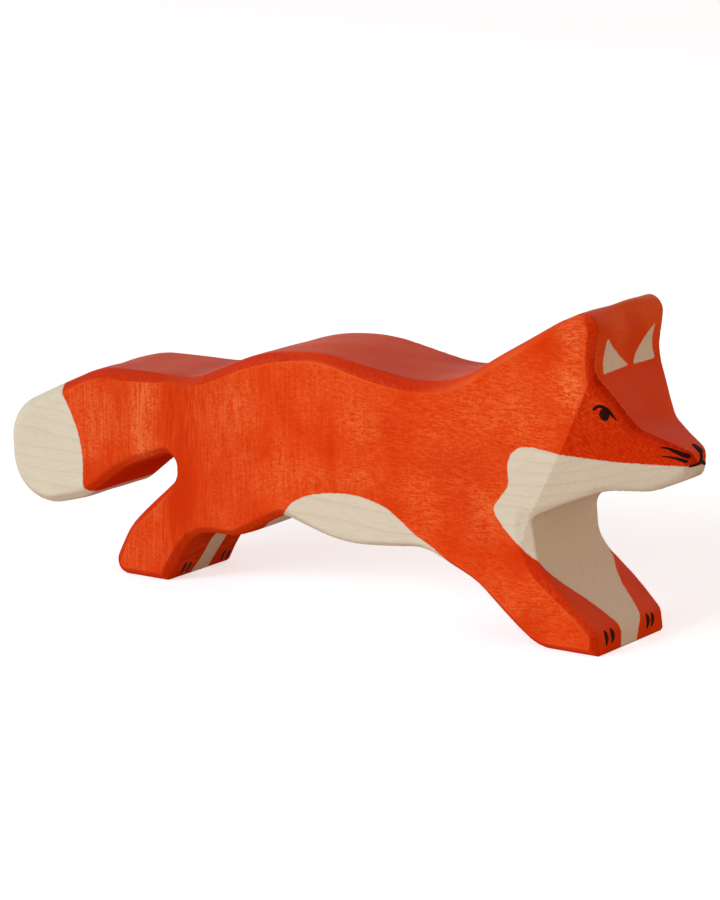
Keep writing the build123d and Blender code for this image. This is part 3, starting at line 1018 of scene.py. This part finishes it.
# %% The rear half, darker towards the tail, with painted shade in a band ahead of the rump
BAND_FROM_X, BAND_TO_X, DARK_REAR_X = (-43.0, -38.5), (-34.0, -21.0), (-30.0, -5.0)
# Painted shade: a dark band where the flank dips into the drum's bite at the rump, streaked by
# upright brush marks.
haunch_shade = product(tree, ramp(tree, along_x, *BAND_FROM_X),
                    ramp(tree, along_x, *BAND_TO_X, 1.0, 0.0),
                    ramp(tree, upright_marks, 0.34, 0.6, 1.0, 0.4))
# Behind that band, the stain is also darker towards the tail.
darker_rear = greatest(tree, haunch_shade, ramp(tree, along_x, *DARK_REAR_X, 0.3, 0.0))
stain = blend(tree, darker_rear, stain, STAIN_DARK_REAR)

# %% Bare wood with its growth lines and pores, and the frayed border of the stain
FRAY = 0.45
BORDER_BLUR = 0.16
line_share = product(tree, figure["Rings"], calc(tree, "MULTIPLY_ADD", on_flank, 0.35, 0.4))
pale = blend(tree, line_share, BARE, BARE_LINE)
pale = blend(tree, product(tree, figure["Pores"], 0.3), pale, BARE_LINE)
fray = stretched_noise(tree, place, (0.9, 1.6, 1.6), 2.0, 0.7)
frayed = calc(tree, "MULTIPLY_ADD", calc(tree, "SUBTRACT", fray, 0.5), FRAY, bare_mm)
feed(tree, shader, {
    "Base Color": blend(tree, ramp(tree, frayed, -BORDER_BLUR, BORDER_BLUR), stain, pale),
    "Roughness": calc(tree, "MULTIPLY_ADD", texture, 0.12, 0.5),
    "Specular IOR Level": ramp(tree, faces_up, 0.15, 0.95, 0.0, 0.12),
    "Normal": raised_grain(tree, figure, 0.25),
})
body.data.materials.append(wood)
print("nodes of the stained wood:", len(tree.nodes))

# %% [markdown]
# ## Black paint
# The marks cover well, but some dabs are thinner and let the red below show. A flat black would
# look printed, so a soft noise mixes in a little brown, and the wood's grain still shows in the low
# relief of a paint that is nearly matt.

# %% One black for all the marks
INK = srgb(44, 16, 11)
INK_THIN = srgb(74, 30, 20)
INK_GLOSS = 0.02

ink, tree, shader = new_material("black_paint")
place, figure = wood_figure(tree)
dabs = stretched_noise(tree, place, (1.1, 1.1, 1.1))
feed(tree, shader, {
    "Base Color": blend(tree, ramp(tree, dabs, 0.5, 0.8, 0.0, 0.6), INK, INK_THIN),
    "Roughness": ramp(tree, dabs, 0.3, 0.7, 0.38, 0.55),
    "Specular IOR Level": INK_GLOSS,
    "Normal": raised_grain(tree, figure, 0.3),
})
for mark in marks:
    mark.data.materials.append(ink)

# %% Dress the body
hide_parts("wooden_body")
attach(body, "root")

# %% [markdown]
# ## Floor, light and camera
# A pale floor takes the toy's shadow. To the camera alone it is far paler than to the toy, so that
# it shows white round a faint shadow without throwing more light up. Most of the light comes from
# all round, a little warm, and a large soft lamp, a little cool, stands low on the toy's right,
# behind the camera's left shoulder. It shapes the cheek and the face. The camera stands where the
# photograph's own lines say: ahead of the toy and a little above it.

# %% Rays that should meet plain white


def seen_rays(tree):
    """1 for rays straight from the camera, off gloss or through glass, and 0 for all others."""
    rays = put(tree, "ShaderNodeLightPath").outputs
    kinds = ("Is Camera Ray", "Is Glossy Ray", "Is Transmission Ray")
    return greatest(tree, *(rays[kind] for kind in kinds))


# %% Pale floor
WHITE = (1.0, 1.0, 1.0, 1.0)
FLOOR_REACH = 6.0
FLOOR_PALE = (0.8, 0.7, 0.63, 1.0)
FLOOR_SEEN = (2.3, 2.45, 2.6, 1.0)
FLOOR_GLOW = 0.6
bpy.ops.mesh.primitive_plane_add(size=2 * FLOOR_REACH, location=(0, 0, 0))
floor = bpy.context.object
floor.name = "floor"
paper, tree, shader = new_material("paper")
tree.nodes.remove(shader)
seen = seen_rays(tree)
colour = blend(tree, seen, FLOOR_PALE, FLOOR_SEEN)
diffuse = put(tree, "ShaderNodeBsdfDiffuse", {"Color": colour}).outputs[0]
glow = put(tree, "ShaderNodeEmission", {"Color": WHITE, "Strength": 1.0}).outputs[0]
share = product(tree, seen, FLOOR_GLOW)
lit = put(tree, "ShaderNodeMixShader", {0: share, 1: diffuse, 2: glow}).outputs[0]
feed(tree, tree.nodes["Material Output"], {"Surface": lit})
floor.data.materials.append(paper)

# %% Light from all round, with a white background
ROOM = (0.57, 0.46, 0.40)
HORIZON = 1.45
CEILING_DIM = 1.26
FRONT_GAIN = 0.45
LEFT_FILL = 0.15
world = bpy.data.worlds.new("room")
bpy.context.scene.world = world
world.use_nodes = True
tree = world.node_tree
generated = put(tree, "ShaderNodeTexCoord").outputs["Generated"]
ahead, leftward, upward = put(tree, "ShaderNodeSeparateXYZ", {0: generated}).outputs
level = calc(tree, "MULTIPLY_ADD", upward, -CEILING_DIM, HORIZON)
level = calc(tree, "MULTIPLY_ADD", ahead, FRONT_GAIN, level)
level = calc(tree, "MULTIPLY_ADD", greatest(tree, leftward, 0.0), LEFT_FILL, level)
light = blend(tree, seen_rays(tree), scaled(tree, ROOM, level), WHITE)
feed(tree, tree.nodes["Background"], {"Color": light})

# %% One large soft lamp


def stand_off(thing, spot, way, distance):
    """Stands a lamp or a camera off from a spot, and turns it to face that spot."""
    thing.location = spot + way * distance
    thing.rotation_euler = way.to_track_quat("Z", "Y").to_euler()


LAMP_WAY = Vector((-0.46, -0.84, 0.29)).normalized()
LAMP_DISTANCE = 2.5
LAMP_POWER = 51.5
LAMP_SIZE = 1.4
LAMP_COLOUR = (0.72, 0.9, 1.0)
lamp_data = bpy.data.lights.new("softbox", "AREA")
lamp_data.energy = LAMP_POWER
lamp_data.size = LAMP_SIZE
lamp_data.color = LAMP_COLOUR
stand_off(add_object("softbox", lamp_data), Vector(), LAMP_WAY, LAMP_DISTANCE)

# %% Camera, from the photograph's perspective
AZIMUTH, ELEVATION = np.radians(34.12), np.radians(12.40)
CAMERA_DISTANCE = 0.8318
AIM = Vector((0.00135, 0.0, 0.0316))
SENSOR = 36.0
FOCAL_PIXELS, LONG_SIDE_PIXELS = 4004.0, 900.0
camera_way = Vector((np.sin(AZIMUTH) * np.cos(ELEVATION), -np.cos(AZIMUTH) * np.cos(ELEVATION),
                     np.sin(ELEVATION)))
camera_data = bpy.data.cameras.new("camera")
camera_data.sensor_width = SENSOR
camera_data.lens = FOCAL_PIXELS * SENSOR / LONG_SIDE_PIXELS
camera = add_object("camera", camera_data)
stand_off(camera, AIM, camera_way, CAMERA_DISTANCE)
bpy.context.scene.camera = camera
bpy.context.scene.view_settings.view_transform = "Standard"
print("lens in mm:", round(camera_data.lens, 1))
